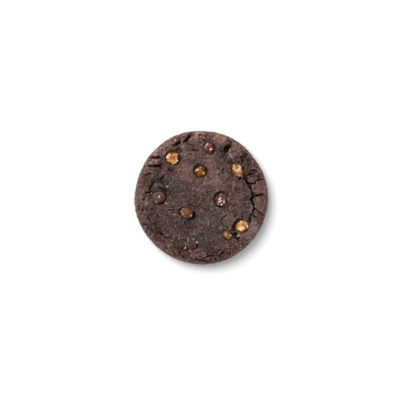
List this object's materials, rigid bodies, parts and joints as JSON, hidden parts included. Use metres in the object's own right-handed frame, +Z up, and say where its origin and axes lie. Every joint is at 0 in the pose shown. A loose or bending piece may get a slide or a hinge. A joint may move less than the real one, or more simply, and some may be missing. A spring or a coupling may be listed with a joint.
{
  "type": "salted caramel brownie cookie",
  "caption": "Thick round dark brownie cookie with a flatter middle, a raised cracked rim, and caramel and chocolate chips set in sockets in its top.",
  "frame": {"origin": "middle of the flat base that the cookie lies on, at the bottom centre of its box", "axes": "+Z up through the top with the chips; +X is the right and +Y the far side in a view from straight above with the large caramel chip at the upper left"},
  "size_m": [0.0853, 0.0852, 0.015],
  "materials": {
    "dough": "dark baked cocoa dough, dull, finely wrinkled",
    "caramel": "golden baked caramel, glossy, browner at its edges",
    "chocolate": "milk chocolate softened by baking, satin with small glints"
  },
  "bodies": {
    "root": {"cookie": "dough", "caramel_chip_1": "caramel", "caramel_chip_2": "caramel", "caramel_chip_3": "caramel", "caramel_chip_4": "caramel", "caramel_chip_5": "caramel", "chocolate_chip_1": "chocolate", "chocolate_chip_2": "chocolate", "chocolate_chip_3": "chocolate", "chocolate_chip_4": "chocolate", "chocolate_chip_5": "chocolate"}
  },
  "joints": []
}
